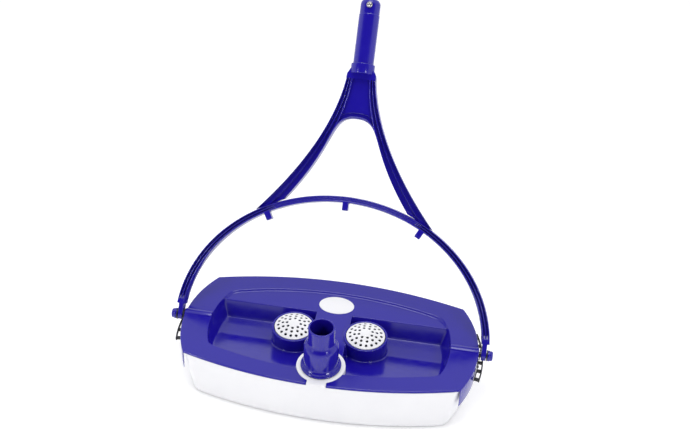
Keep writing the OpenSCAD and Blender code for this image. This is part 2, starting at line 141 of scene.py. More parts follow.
# Plain round bar to cut with: one radius carried round between two heights.
def drill(radius, low, high, centre, steps, alongX=False):
    profile = np.array([(0, low), (radius, low), (radius, high), (0, high)], float)
    return lathe(profile, centre, steps, alongX, closed=False)


# A closed section is carried along a path on its side and up directions; open ends get one flat face each.
def sweep(path, side, up, section):
    count = len(path)
    section = np.broadcast_to(section, (count, *np.shape(section)[-2:]))
    side, up = (np.broadcast_to(v, (count, 3))[:, None] for v in (side, up))
    points = (path[:, None] + section[..., :1] * side + section[..., 1:] * up).reshape(-1, 3)
    around = section.shape[1]
    ends = [np.arange(around)[None], np.arange((count - 1) * around, count * around)[None]]
    return points, [gridFaces(count, around, False, True), *ends]


# Section of a bar centred on its path: a rectangle with its corners rounded.
def roundedBar(width, height, radius):
    w, h = width / 2, height / 2
    return roundedCorners([(-w, -h), (w, -h), (w, h), (-w, h)], radius, 3)


# Cubic curve: the four points weighted by the Bernstein terms.
def bezier(a, b, c, d, t):
    t = np.asarray(t)[:, None]
    a, b, c, d = (np.asarray(p, float) for p in (a, b, c, d))
    return a * (1 - t) ** 3 + 3 * b * t * (1 - t) ** 2 + 3 * c * t ** 2 * (1 - t) + d * t ** 3


# Rises from 0 to 1 with level ends: three squares less two cubes.
def smoothStep(x):
    x = np.clip(x, 0, 1)
    return x * x * (3 - 2 * x)


# The larger of two heights, rounded over k where they meet: half of sum plus softened difference.
def softMax(a, b, k):
    return 0.5 * (a + b + np.sqrt((a - b) ** 2 + k * k))


# The smaller of two heights, in the same way: half of sum less softened difference.
def softMin(a, b, k):
    return 0.5 * (a + b - np.sqrt((a - b) ** 2 + k * k))


# One mesh from closed shells: doubles merged and slivers dropped, at distances in metres, and faces turned
# outwards.
def meshFrom(name, shells, place, weld=2e-6, sliver=1e-7):
    starts = np.cumsum([0] + [len(points) for points, _ in shells])
    faces = []
    for (_, blocks), start in zip(shells, starts):
        for block in blocks:
            faces += (block + start).tolist()
    mesh = bpy.data.meshes.new(name)
    mesh.from_pydata(place(np.concatenate([points for points, _ in shells])).tolist(), [], faces)
    work = bmesh.new()
    work.from_mesh(mesh)
    bmesh.ops.remove_doubles(work, verts=work.verts, dist=weld)
    bmesh.ops.dissolve_degenerate(work, edges=work.edges, dist=sliver)
    bmesh.ops.recalc_face_normals(work, faces=work.faces)
    work.to_mesh(mesh)
    work.free()
    return mesh


# A finished piece: cut where it has cutters, shaded smooth but for edges over the sharp angle, given its
# slot's finish, and set to ride on its body in place of the nodes it stands for.
def makePiece(name, shells, place, body, slot, stands, sharp=36, cutters=None):
    piece = bpy.data.objects.new(name, meshFrom(name, shells, place))
    bpy.context.scene.collection.objects.link(piece)
    if cutters:
        cutter = bpy.data.objects.new("cutter", meshFrom("cutter", cutters, place))
        bpy.context.scene.collection.objects.link(cutter)
        modifier = piece.modifiers.new("cut", "BOOLEAN")
        modifier.operation, modifier.solver, modifier.object = "DIFFERENCE", "EXACT", cutter
        bpy.context.view_layer.update()
        cut = bpy.data.meshes.new_from_object(piece.evaluated_get(bpy.context.evaluated_depsgraph_get()))
        piece.modifiers.clear()
        piece.data = cut
        cut.name = name
        bpy.data.objects.remove(cutter)
    piece.data.shade_smooth()
    piece.data.set_sharp_from_angle(angle=math.radians(sharp))
    piece.data.materials.clear()
    piece.data.materials.append(materials[slotMaterials[slot]])
    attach(piece, body)
    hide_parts(*stands)
    print("piece:", name, len(piece.data.polygons), "faces")
    return piece


# sRGB hex to linear RGBA: below the knee divide by 12.92, above it the 2.4 power curve.
def hexColour(code):
    srgb = np.array([int(code[i:i + 2], 16) / 255 for i in (1, 3, 5)])
    linear = np.where(srgb <= 0.04045, srgb / 12.92, ((srgb + 0.055) / 1.055) ** 2.4)
    return (*linear.tolist(), 1.0)


# One shader node: settings go to its properties or, failing that, its inputs; links come from sockets.
def addNode(tree, kind, settings=(), links=()):
    node = tree.nodes.new(kind)
    for name, value in dict(settings).items():
        if isinstance(name, str) and hasattr(node, name):
            setattr(node, name, value)
        else:
            node.inputs[name].default_value = value
    for name, source in dict(links).items():
        tree.links.new(source, node.inputs[name])
    return node


# Principled surface: a soft two-tone mottle, roughness that wanders with the scuffs, and a fine moulded skin.
# Sizes in millimetres become noise scales as 1000 over the size.
def makeMaterial(name, look):
    material = bpy.data.materials.new(name)
    material.use_nodes = True
    tree = material.node_tree
    tree.nodes.clear()
    place = addNode(tree, "ShaderNodeTexCoord").outputs["Object"]
    mottle = addNode(tree, "ShaderNodeTexNoise",
                     {"Scale": 1000 / look["mottleMm"], "Detail": 3.0, "Roughness": 0.55}, {"Vector": place})
    tone = addNode(tree, "ShaderNodeMix", {"data_type": "RGBA", 6: hexColour(look["colour"]),
                                           7: hexColour(look["shade"])}, {0: mottle.outputs["Fac"]})
    stretched = addNode(tree, "ShaderNodeMapping", {"Scale": look["streak"]}, {"Vector": place})
    scuff = addNode(tree, "ShaderNodeTexNoise",
                    {"Scale": 1000 / look["scuffMm"], "Detail": 4.0, "Roughness": 0.6},
                    {"Vector": stretched.outputs["Vector"]})
    smooth, dull = look["roughness"]
    rough = addNode(tree, "ShaderNodeMapRange",
                    {"From Min": 0.35, "From Max": 0.7, "To Min": smooth, "To Max": dull},
                    {"Value": scuff.outputs["Fac"]})
    skin = addNode(tree, "ShaderNodeTexNoise", {"Scale": 1000 / look["grainMm"], "Detail": 1.0},
                   {"Vector": place})
    bump = addNode(tree, "ShaderNodeBump",
                   {"Strength": look["grainStrength"], "Distance": look["grainDepthMm"] * 0.001},
                   {"Height": skin.outputs["Fac"]})
    surface = addNode(tree, "ShaderNodeBsdfPrincipled", look["surface"],
                      {"Base Color": tone.outputs[2], "Roughness": rough.outputs["Result"],
                       "Normal": bump.outputs["Normal"]})
    addNode(tree, "ShaderNodeOutputMaterial", {}, {"Surface": surface.outputs["BSDF"]})
    return material


even = (1, 1, 1)  # scuffs without a direction; other streaks are drawn out along the axis below 1
looks = {
    # Injection-moulded ABS, high gloss: deep violet blue, a faint flow mottle, a little orange peel
    "mouldedBlueAbs": {"colour": "#180E90", "shade": "#1D1298", "mottleMm": 38, "streak": even, "scuffMm": 11,
                       "roughness": (0.12, 0.22), "grainMm": 3.5, "grainStrength": 0.06, "grainDepthMm": 0.05,
                       "surface": {"IOR": 1.53}},
    # The same resin from a textured mould: satin and darker, for the hidden underside
    "satinDarkAbs": {"colour": "#160D70", "shade": "#1B1180", "mottleMm": 30, "streak": even, "scuffMm": 7,
                     "roughness": (0.35, 0.5), "grainMm": 1.2, "grainStrength": 0.15, "grainDepthMm": 0.06,
                     "surface": {"IOR": 1.53}},
    # Moulded white ABS, satin: nearly neutral, with a slow drift of tone over the big walls
    "mouldedWhiteAbs": {"colour": "#EEEEF0", "shade": "#E6E6EA", "mottleMm": 55, "streak": even,
                        "scuffMm": 14, "roughness": (0.3, 0.42), "grainMm": 2.5, "grainStrength": 0.08,
                        "grainDepthMm": 0.05, "surface": {"IOR": 1.53}},
    # Turned nylon: milky, duller than the ABS
    "turnedNylon": {"colour": "#EAE9E3", "shade": "#DFDED7", "mottleMm": 14, "streak": (0.15, 1, 1),
                    "scuffMm": 3, "roughness": (0.4, 0.58), "grainMm": 1, "grainStrength": 0.12,
                    "grainDepthMm": 0.04, "surface": {"IOR": 1.53}},
    # Black polypropylene off a fine spark-eroded mould: a soft grain that breaks the shine up
    "grainedPolypropylene": {"colour": "#17181B", "shade": "#212227", "mottleMm": 20, "streak": even,
                             "scuffMm": 6, "roughness": (0.34, 0.55), "grainMm": 0.9, "grainStrength": 0.3,
                             "grainDepthMm": 0.08, "surface": {"IOR": 1.49}},
    # Moulded EPDM rubber: matt, faintly bloomed
    "mouldedEpdmRubber": {"colour": "#161617", "shade": "#232325", "mottleMm": 12, "streak": even,
                          "scuffMm": 5, "roughness": (0.7, 0.85), "grainMm": 0.8, "grainStrength": 0.3,
                          "grainDepthMm": 0.06, "surface": {"IOR": 1.52}},
    # Extruded nylon filament: pale and slightly glossy, streaked along its length
    "extrudedNylonFilament": {"colour": "#E3E5E8", "shade": "#C6CAD2", "mottleMm": 5, "streak": (1, 1, 0.1),
                              "scuffMm": 2, "roughness": (0.3, 0.5), "grainMm": 0.8, "grainStrength": 0.1,
                              "grainDepthMm": 0.03, "surface": {"IOR": 1.53}},
    # Stainless steel, brushed: neutral, with the streaks of a belt
    "brushedStainlessSteel": {"colour": "#BDBCBA", "shade": "#A3A2A1", "mottleMm": 9, "streak": (1, 1, 0.08),
                              "scuffMm": 1.5, "roughness": (0.2, 0.38), "grainMm": 0.6, "grainStrength": 0.1,
                              "grainDepthMm": 0.02, "surface": {"Metallic": 1.0}},
}
materials = {name: makeMaterial(name, look) for name, look in looks.items()}
# The finish that each of the record's slots takes
slotMaterials = {"blue_abs": "mouldedBlueAbs", "dark_abs": "satinDarkAbs", "white_abs": "mouldedWhiteAbs",
                 "nylon": "turnedNylon", "black_plastic": "grainedPolypropylene",
                 "seal_rubber": "mouldedEpdmRubber", "bristle": "extrudedNylonFilament",
                 "steel": "brushedStainlessSteel"}
for part in frame["record"]["subparts"]:
    node = frame["nodes"][part["node"]]
    node.data.materials.clear()
    node.data.materials.append(materials[slotMaterials[part["material_slot"]]])
print("materials: done")


# Metres, degrees, and millimetres for the lens
cameraSettings = {"aim": (-0.0007, headY * 0.001 + 0.11645, 0.2061), "azimuth": 8.18, "elevation": 36.74,
                  "roll": 2.17, "distance": 1.58, "lens": 54.78, "sensor": 36}


# The viewing direction from two angles, the picture turned by the roll, and the camera set back along it.
def makeCamera(settings):
    az, el, roll = (math.radians(settings[k]) for k in ("azimuth", "elevation", "roll"))
    forward = Vector((-math.sin(az) * math.cos(el), math.cos(az) * math.cos(el), -math.sin(el)))
    right = Vector((math.cos(az), math.sin(az), 0))
    up = right.cross(forward)
    across = right * math.cos(roll) + up * math.sin(roll)
    upright = up * math.cos(roll) - right * math.sin(roll)
    turn = Matrix((across, upright, -forward)).transposed().to_4x4()
    data = bpy.data.cameras.new("studioCamera")
    data.lens, data.sensor_width = settings["lens"], settings["sensor"]
    camera = bpy.data.objects.new("studioCamera", data)
    camera.matrix_world = Matrix.Translation(Vector(settings["aim"]) - forward * settings["distance"]) @ turn
    bpy.context.scene.collection.objects.link(camera)
    bpy.context.scene.camera = camera


lightSettings = {"paper": 1.0, "darkSide": 0.06,  # brightness of the backdrop and of the dim room
                 "front": (-0.05, -0.4), "high": (0.24, 0.46),  # directions between which the room fades in
                 "floorTint": "#FAFAFB", "floorGlow": 0.2, "floorHalf": 8, "boxAim": (0, -0.1, 0.08),
                 # Soft boxes: place and size in metres, power in watts
                 "boxes": {"leftBox": ((-1.05, -0.95, 1.0), 0.34, 5.5),
                           "rightBox": ((1.05, -1.0, 1.1), 0.34, 5.5),
                           "topBox": ((0.0, 0.1, 1.9), 0.9, 10)}}


# White paper all round and low in front, a dim room high up in front as the product of two smooth ramps, which
# lights and reflects but looks white itself, three soft boxes, and a wide plain floor.
def makeStudio(settings):
    scene = bpy.context.scene
    scene.view_settings.view_transform = "Standard"
    scene.world = bpy.data.worlds.new("paleStudio")
    scene.world.use_nodes = True
    tree = scene.world.node_tree
    tree.nodes.clear()
    around = addNode(tree, "ShaderNodeTexCoord").outputs["Generated"]
    direction = addNode(tree, "ShaderNodeSeparateXYZ", {}, {0: around})
    ramps = []
    for name, axis in (("front", "Y"), ("high", "Z")):
        start, end = settings[name]
        ramps.append(addNode(tree, "ShaderNodeMapRange",
                             {"From Min": start, "From Max": end, "interpolation_type": "SMOOTHSTEP"},
                             {"Value": direction.outputs[axis]}).outputs["Result"])
    room = addNode(tree, "ShaderNodeMath", {"operation": "MULTIPLY"}, {0: ramps[0], 1: ramps[1]})
    dark = addNode(tree, "ShaderNodeMapRange", {"To Min": settings["paper"], "To Max": settings["darkSide"]},
                   {"Value": room.outputs["Value"]})
    seen = addNode(tree, "ShaderNodeLightPath").outputs["Is Camera Ray"]
    strength = addNode(tree, "ShaderNodeMath", {"operation": "MAXIMUM"}, {0: dark.outputs["Result"], 1: seen})
    background = addNode(tree, "ShaderNodeBackground", {"Color": (1, 1, 1, 1)},
                         {"Strength": strength.outputs["Value"]})
    addNode(tree, "ShaderNodeOutputWorld", {}, {"Surface": background.outputs["Background"]})
    for name, (place, size, power) in settings["boxes"].items():
        data = bpy.data.lights.new(name, "AREA")
        data.size, data.energy = size, power
        box = bpy.data.objects.new(name, data)
        box.location = place
        box.rotation_euler = (Vector(settings["boxAim"]) - Vector(place)).to_track_quat("-Z", "Y").to_euler()
        scene.collection.objects.link(box)
    half = settings["floorHalf"]
    mesh = bpy.data.meshes.new("studioFloor")
    corners = [(-half, -half, 0), (half, -half, 0), (half, half, 0), (-half, half, 0)]
    mesh.from_pydata(corners, [], [(0, 1, 2, 3)])
    floor = bpy.data.objects.new("studioFloor", mesh)
    scene.collection.objects.link(floor)
    # Matt backdrop paper: even, without shine
    mesh.materials.append(makeMaterial("backdropPaper", {
        "colour": settings["floorTint"], "shade": settings["floorTint"], "mottleMm": 300, "streak": even,
        "scuffMm": 100, "roughness": (0.9, 0.95), "grainMm": 3, "grainStrength": 0.05, "grainDepthMm": 0.05,
        "surface": {"Specular IOR Level": 0.1, "Emission Color": (1, 1, 1, 1),
                    "Emission Strength": settings["floorGlow"]}}))


makeCamera(cameraSettings)
makeStudio(lightSettings)
print("camera, light and floor: done")


# Plan curves as (middle or centre, radius): the front and back arcs are centred on x = 0, the end arcs off it
frontArc, frontCrease = (-114.2, 707.5), (-87.9, 582.7)
backArc, backCrease = (114.2, 699.7), (87.5, 538.5)
endArc, endCrease = ((55.2, -6.1), 166.4), ((30.9, -6.4), 150.4)


# How far a point lies inside a front or back arc: its radius less the distance to its centre.
def arcDepth(x, y, arc):
    middle, radius = arc
    centre = middle - math.copysign(radius, middle)
    return radius - np.hypot(x, y - centre)


# How far a point lies inside the nearer end arc.
def endDepth(x, y, arc):
    (cx, cy), radius = arc
    return radius - np.hypot(np.abs(x) - cx, y - cy)


# Point and outward direction on the end arc's own polar grid: centre plus radius times cosine and sine.
def endPoint(radius, degrees, side):
    (cx, cy), base = endArc
    a = np.radians(degrees)
    out = np.stack([side * np.cos(a), np.sin(a), 0 * a], axis=-1)
    reach = np.broadcast_to(base + np.asarray(radius), a.shape)[..., None]
    return np.array([side * cx, cy, 0]) + out * reach, out


coverSettings = {
    "wall": 2.8, "edgeRound": 1.4,
    # Trays: depth, feet, slopes and drafts of their walls, and how softly each wall meets the next
    "trayDepth": 25, "bridgeHalf": 27, "bridgeDraft": 3, "lipY": 40.7, "footY": 29.6, "slopeY": -8,
    "slope": 0.26, "endDraft": 11, "softBack": 1.8, "softFront": 1.2, "softSide": 2.5, "softPanel": 1.1,
    # Step from the rim to the panel: width in front and behind, and where one turns into the other
    "frontStep": 2.2, "backStep": 5.5, "stepFrom": 38, "stepOver": 18, "softEnd": 4, "softRear": 6,
    # Grid lines between neighbouring key curves
    "rowCounts": (18, 24, 21, 14, 27, 18), "columnCounts": (9, 8, 36, 15, 24),
    # Towers, with a ledge inside and a fillet at the foot
    "towerR": 32.7, "boreR": 29.7, "ledgeRise": 6.8, "ledgeWidth": 3, "footFillet": 2.4,
    # End skirts in degrees along the end arc, and pivot bosses along x
    "skirtDepth": 33, "skirtFrom": -28.0, "skirtTo": 34.2, "skirtSteps": 64,
    "bossR": 10, "bossBore": 4.02, "bossFrom": 180.6, "bossTo": 222.3,
    # Keyhole for the collar ring and its neck
    "ringR": 35.9, "neckHalf": 14.4,
    # Screw posts: place, radius and foot
    "posts": ((60, -100, 5, 42), (150, -84, 5, 42), (60, 98, 5, 42), (150, 82, 5, 42), (112, 22, 4.6, 13.2),
              (96, 66, 4.6, 13.2), (96, -66, 4.6, 13.2)), "postBore": 1.7}


# Height of the cover: the tray is the softened highest of a floor, a back wall, a front slope, an end wall
# and the bridge's side; the panel is the softened lowest of that and its own level; it steps up to the rim
# across the crease. Grow gives the same surface one wall further in.
def coverHeight(x, y, grow):
    c = coverSettings
    fall, foot = c["trayDepth"], c["bridgeHalf"] + c["bridgeDraft"]
    floorZ = panelZ - fall - grow
    backWall = floorZ + (y - c["footY"] - grow) * fall / (c["lipY"] - c["footY"])
    frontSlope = floorZ + (c["slopeY"] - y) * c["slope"]
    endWall = floorZ + (c["endDraft"] - grow - endDepth(x, y, endCrease)) * fall / c["endDraft"]
    bridgeWall = floorZ + (foot - grow - np.abs(x)) * fall / c["bridgeDraft"]
    tray = softMax(np.full_like(x, floorZ), backWall, c["softBack"])
    tray = softMax(tray, frontSlope, c["softFront"])
    tray = softMax(softMax(tray, endWall, c["softSide"]), bridgeWall, c["softSide"])
    inner = softMin(tray, panelZ - grow, c["softPanel"])
    depth = softMin(arcDepth(x, y, frontCrease), endDepth(x, y, endCrease), c["softEnd"])
    depth = softMin(depth, arcDepth(x, y, backCrease), c["softRear"]) + grow
    behind = smoothStep((y - c["stepFrom"]) / c["stepOver"])
    step = smoothStep(depth / (c["frontStep"] + (c["backStep"] - c["frontStep"]) * behind))
    return (rimZ - grow) * (1 - step) + inner * step


# Grid positions that crowd towards each key curve: (1 - cos) / 2 between neighbours.
def betweenKeys(counts):
    spans = [k + 0.5 - 0.5 * np.cos(np.pi * np.arange(n) / n) for k, n in enumerate(counts)]
    return np.concatenate(spans + [[float(len(counts))]])


# Plan points where a family of front-to-back curves crosses a family of end-to-end ones, found by repeating
# y = row(x), x = column(y) until both hold.
def coverGrid():
    c = coverSettings

    # The y of each front and back arc and of the tray's three level lines at every x.
    def rowKeys(x):
        arcs = [m - math.copysign(radius, m) + math.copysign(1, m) * np.sqrt(radius * radius - x * x)
                for m, radius in (frontArc, frontCrease, backCrease, backArc)]
        level = [np.full_like(x, c[key]) for key in ("slopeY", "footY", "lipY")]
        return np.stack([*arcs[:2], *level, *arcs[2:]])

    # The x of the middle, of the bridge's side and foot, and of the end arcs at every y.
    def columnKeys(y):
        level = [np.full_like(y, v) for v in (0, c["bridgeHalf"], c["bridgeHalf"] + c["bridgeDraft"])]
        ends = [cx + np.sqrt((radius - inset) ** 2 - (y - cy) ** 2)
                for ((cx, cy), radius), inset in ((endCrease, c["endDraft"]), (endCrease, 0), (endArc, 0))]
        return np.stack([*level, *ends])

    # Straight mix of the two key curves beside a grid position.
    def mixed(keys, at):
        low = np.minimum(at.astype(int), len(keys) - 2)
        share = at - low
        i, j = np.indices(keys.shape[1:])
        return keys[low, i, j] * (1 - share) + keys[low + 1, i, j] * share

    rows, columns = np.meshgrid(betweenKeys(c["rowCounts"]), betweenKeys(c["columnCounts"]), indexing="ij")
    x, y = columns * 30.0, rows * 0.0  # a rough start
    for _ in range(40):
        y = mixed(rowKeys(x), rows)
        x = mixed(columnKeys(y), columns)
    return np.hstack([-x[:, :0:-1], x]), np.hstack([y[:, :0:-1], y])


# Closed sheet: the top surface with a quarter round at its edge, and the same surface one wall further in.
def coverSheet():
    c = coverSettings
    x, y = coverGrid()
    edge = np.minimum(np.minimum(arcDepth(x, y, frontArc), arcDepth(x, y, backArc)), endDepth(x, y, endArc))
    r = c["edgeRound"]
    drop = r - np.sqrt(np.clip(r * r - np.clip(r - edge, 0, r) ** 2, 0, None))
    levels = (coverHeight(x, y, 0) - drop, coverHeight(x, y, c["wall"]))
    points = np.concatenate([np.stack([x, y, z], axis=-1).reshape(-1, 3) for z in levels])
    return points, sheetFaces(*x.shape)


# Tower: a lathed tube with a rounded mouth, and an apron at its foot, a parabola in section, that follows the
# tray's height all round and is closed inside the tube's wall.
def coverTower(side, steps=192):
    c = coverSettings
    outer, bore, fillet = c["towerR"], c["boreR"], c["footFillet"]
    low = panelZ - c["trayDepth"] - c["wall"]
    ledge, inside = low + c["ledgeRise"], bore - c["ledgeWidth"]
    profile = roundedCorners([(outer, low), (outer, towerTop), (bore, towerTop), (bore, ledge),
                              (inside, ledge), (inside, low)], [0.2, 1.0, 0.5, 0.3, 0.3, 0.3])
    middle = np.array([side * towerX, towerY])
    turn = np.linspace(0, 2 * np.pi, steps, endpoint=False)[:, None]
    t = np.linspace(0, 1, 7)[None]
    radius = outer + fillet * t ** 2 + 0 * turn
    x, y = middle[0] + radius * np.cos(turn), middle[1] + radius * np.sin(turn)
    reach = outer + fillet
    foot = coverHeight(middle[0] + reach * np.cos(turn), middle[1] + reach * np.sin(turn), 0)
    z = np.maximum(coverHeight(x, y, 0), foot + 0 * t) - 0.03 + fillet * (1 - t) ** 2
    z = np.minimum(z, towerTop - 1.2)
    apron = np.stack([x, y, z], axis=-1)
    below = apron[:, -1:] * [1, 1, 0] + [0, 0, 1] * (z[:, -1:, None] - 3)
    inner = apron[:, :1] * [1, 1, 0] + [0, 0, 1] * (z[:, :1, None] - 4)
    inner[..., :2] = (inner[..., :2] - middle) * 0.97 + middle
    loop = np.concatenate([apron, below, inner], axis=1)
    faces = gridFaces(steps, loop.shape[1], True, True)
    return [lathe(profile, (*middle, 0), 128), (loop.reshape(-1, 3), [faces])]


# End skirt: a thin rounded section carried along the end arc from corner to corner under the rim, thinned by
# a smooth step over its first and last four stations.
def coverSkirt(side):
    c = coverSettings
    wall, count = c["wall"], c["skirtSteps"]
    low, high = rimZ - c["skirtDepth"], rimZ - 1.9
    section = roundedCorners([(-wall, low), (-0.04, low), (-0.04, high), (-wall, high)], [0.9, 0.9, 0.1, 0.1])
    station = np.arange(count)
    thin = 0.35 + 0.65 * smoothStep(np.minimum(station, station[::-1]) / 4)
    section = np.stack([section] * count) * np.stack([thin, 0 * thin + 1], axis=-1)[:, None]
    path, outwards = endPoint(0, np.linspace(c["skirtFrom"], c["skirtTo"], count), side)
    return sweep(path, outwards, (0, 0, 1), section)


# Pivot boss: a lathed bar along x with a softened outer face and the pin's bore.
def coverBoss(side):
    c = coverSettings
    bore, outer, start, end = c["bossBore"], c["bossR"], c["bossFrom"], c["bossTo"]
    profile = roundedCorners([(bore, start), (outer, start), (outer, end), (bore, end)], [0.1, 0.8, 1.0, 0.5])
    points, faces = lathe(profile, (0, 0, pivotZ), 64, alongX=True)
    return points * [side, 1, 1], faces


# Ring and neck in one outline: most of a circle, then straight down to the front on both sides.
def keyOutline(radius, half, frontY, steps):
    gap = math.asin(half / radius)
    turn = np.linspace(gap, 2 * np.pi - gap, steps)
    ring = np.stack([-np.sin(turn) * radius, hoseY - np.cos(turn) * radius], axis=1)
    return np.concatenate([ring, [(half, frontY), (-half, frontY)]])


# The cover's sheet with the keyhole and the tower mouths cut through it, and its fittings as a second piece.
def makeCover():
    c = coverSettings
    fittings, bore = [], c["postBore"]
    for side in (-1, 1):
        fittings += [*coverTower(side), coverSkirt(side), coverBoss(side)]
        for x, y, radius, foot in c["posts"]:
            top = coverHeight(np.array([x, x + radius]), np.array([y, y - radius]), c["wall"]).min() + 1
            bar = roundedCorners([(bore, foot), (radius, foot), (radius, top), (bore, top)], 0.4)
            fittings.append(lathe(bar, (side * x, y, 0), 32))
    keyhole = sweep(np.array([[0, 0, 40.0], [0, 0, 110.0]]), (1, 0, 0), (0, 1, 0),
                    keyOutline(c["ringR"], c["neckHalf"], -130, 96))
    mouths = [drill(c["boreR"] + 1.2, 30, 110, (side * towerX, towerY, 0), 96) for side in (-1, 1)]
    makePiece("coverShell", [coverSheet()], toHead, "head", "blue_abs", ["top_cover"], 40, [keyhole, *mouths])
    makePiece("coverFittings", fittings, toHead, "head", "blue_abs", ["top_cover"], 40)


makeCover()
print("cover: done")


# Top and Low pairs are how far the outline is drawn in at the top and at the floor
shellSettings = {"low": 3.0, "top": rimZ - 3.6, "wall": 3.0, "endTop": 3.2, "endLow": 13.0, "faceTop": 0.3,
                 "faceLow": 1.6, "cornerTop": 4.0, "cornerLow": 11.0, "lipRound": 1.8,
                 "notchR": 10.6, "notchFrom": 176.0, "notchTo": 228.0}


# Outline of the head drawn in by two insets, one row of points for each: four arcs cut off one corner
# length before they meet, and a quadratic curve round each corner. A corner is where two circles cross:
# along the line of their centres, then off to the side.
def planOutline(endInset, faceInset, corner):
    e, f, r = (np.asarray(v, float)[:, None] for v in (endInset, faceInset, corner))
    (cx, cy), endR = endArc

    # Centre and radius of a front or back arc, and the point where it crosses the end arc.
    def crossing(arc):
        middle, radius = arc
        centreY, a, b = middle - math.copysign(radius, middle), radius - f, endR - e
        gap = math.hypot(cx, cy - centreY)
        ux, uy = cx / gap, (cy - centreY) / gap
        along = (a * a - b * b + gap * gap) / (2 * gap)
        off = np.sqrt(a * a - along * along)
        return centreY, a, along * ux + off * abs(uy), centreY + along * uy - off * ux * math.copysign(1, uy)

    # Centre plus radius times sine and cosine of each angle, which counts from the back.
    def arcPoints(x, y, radius, angles):
        return np.stack([x + radius * np.sin(angles), y + radius * np.cos(angles)], axis=-1)

    # Quadratic curve from p to q with its middle point at the corner.
    def turn(p, x, y, q):
        u = np.linspace(0, 1, 8)[None, 1:-1, None]
        corners = np.concatenate([x, y], axis=1)[:, None]
        return (1 - u) ** 2 * p[:, None] + 2 * u * (1 - u) * corners + u ** 2 * q[:, None]

    frontY, frontR, fx, fy = crossing(frontArc)
    backY, backR, bx, by = crossing(backArc)
    endR = endR - e
    t, s = np.linspace(0, 1, 56)[None], np.linspace(0, 1, 36)[None]
    frontEdge = np.arctan2(fx, fy - frontY) + r / frontR
    backEdge = np.arctan2(bx, by - backY) - r / backR
    endFrom = np.arctan2(fx - cx, fy - cy) - r / endR
    endTo = np.arctan2(bx - cx, by - cy) + r / endR
    front = arcPoints(0, frontY, frontR, np.pi + (frontEdge - np.pi) * t)
    end = arcPoints(cx, cy, endR, endFrom + (endTo - endFrom) * s)
    back = arcPoints(0, backY, backR, backEdge * (1 - t))
    right = np.concatenate([front, turn(front[:, -1], fx, fy, end[:, 0]), end,
                            turn(end[:, -1], bx, by, back[:, 0]), back], axis=1)
    return np.concatenate([right, right[:, -2:0:-1] * [-1, 1]], axis=1)


# Outer wall from top to lip, round the lip, inner wall back up: each level is the outline drawn in by an
# amount that grows evenly towards the floor.
def shellWall():
    c = shellSettings
    r = c["lipRound"]
    roll = np.linspace(0, np.pi, 9)
    outerZ = np.linspace(c["top"], c["low"] + r, 12)
    z = np.concatenate([outerZ, c["low"] + r - r * np.sin(roll), outerZ[::-1]])
    inward = np.concatenate([0 * outerZ, (1 - np.cos(roll)) * c["wall"] / 2, 0 * outerZ + c["wall"]])
    share = (c["top"] - np.maximum(z, c["low"] + r)) / (c["top"] - c["low"])
    outline = planOutline(c["endTop"] + (c["endLow"] - c["endTop"]) * share + inward,
                          c["faceTop"] + (c["faceLow"] - c["faceTop"]) * share + inward,
                          np.maximum(c["cornerTop"] + (c["cornerLow"] - c["cornerTop"]) * share - inward, 1))
    levels, count = outline.shape[:2]
    points = np.concatenate([outline, np.broadcast_to(z[:, None, None], (levels, count, 1))], axis=2)
    return points.reshape(-1, 3), [gridFaces(levels, count, True, True)]


notches = [drill(shellSettings["notchR"], side * shellSettings["notchFrom"], side * shellSettings["notchTo"],
                 (0, 0, pivotZ), 48, True) for side in (1, -1)]
makePiece("lowerShell", [shellWall()], toHead, "head", "white_abs", ["lower_shell"], 42, notches)


collarSettings = {"ringR": 35.5, "neckHalf": 14,
                  # Height, how far the outline is drawn in there, and the neck's front
                  "levels": ((56.0, 0, -113.5), (74.9, 0, -114.0), (75.55, 0.25, -113.75),
                             (rimZ, 0.9, -113.1)),
                  "seat": ((0, 40.0), (31, 40), (31, 67.3), (24.08, 67.3), (24.08, 90), (0, 90))}


# The key outline carried up and drawn in at its top edge, with the connector's stepped seat cut out.
def makeCollar():
    c = collarSettings
    heights = np.array([[0, 0, z] for z, _, _ in c["levels"]])
    sections = np.stack([keyOutline(c["ringR"] - inset, c["neckHalf"] - inset, front, 120)
                         for _, inset, front in c["levels"]])
    seat = lathe(np.array(c["seat"]), (0, hoseY, 0), 96, closed=False)
    makePiece("collarRing", [sweep(heights, (1, 0, 0), (0, 1, 0), sections)], toHead, "head", "white_abs",
              ["lower_shell"], 42, [seat])


makeCollar()
print("lower shell and collar: done")


badgeSettings = {"profile": ((0, 0), (27, 0), (27, 1.75), (16, 2.1), (0, 2.2)),
                 "rounds": (0.1, 0.1, 0.7, 5, 0.5), "squeeze": 19 / 27, "lift": 0.02}


# A shallow lathed dome squeezed along y into an oval.
def makeBadge():
    c = badgeSettings
    points, faces = lathe(roundedCorners(c["profile"], c["rounds"], 5), (0, 0, 0), 96)
    place = [0, (boxMiddle("badge_plate") - [0, headY, 0])[1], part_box("badge_plate")[0].z * 1000 + c["lift"]]
    makePiece("badgePlate", [(points * [1, c["squeeze"], 1] + place, faces)], toHead, "head", "white_abs",
              ["badge_plate"])


makeBadge()

# Holes: radius of each ring and their number
capSettings = {"radius": 28.7, "rise": 7, "wall": 1.2, "seat": 0.2, "skirt": 28.4, "skirtIn": 26.9,
               "skirtDepth": 7, "disc": 6.6, "discLift": 0.42, "holeR": 2.15,
               "rings": ((10.4, 8), (16.7, 12), (23.4, 18))}


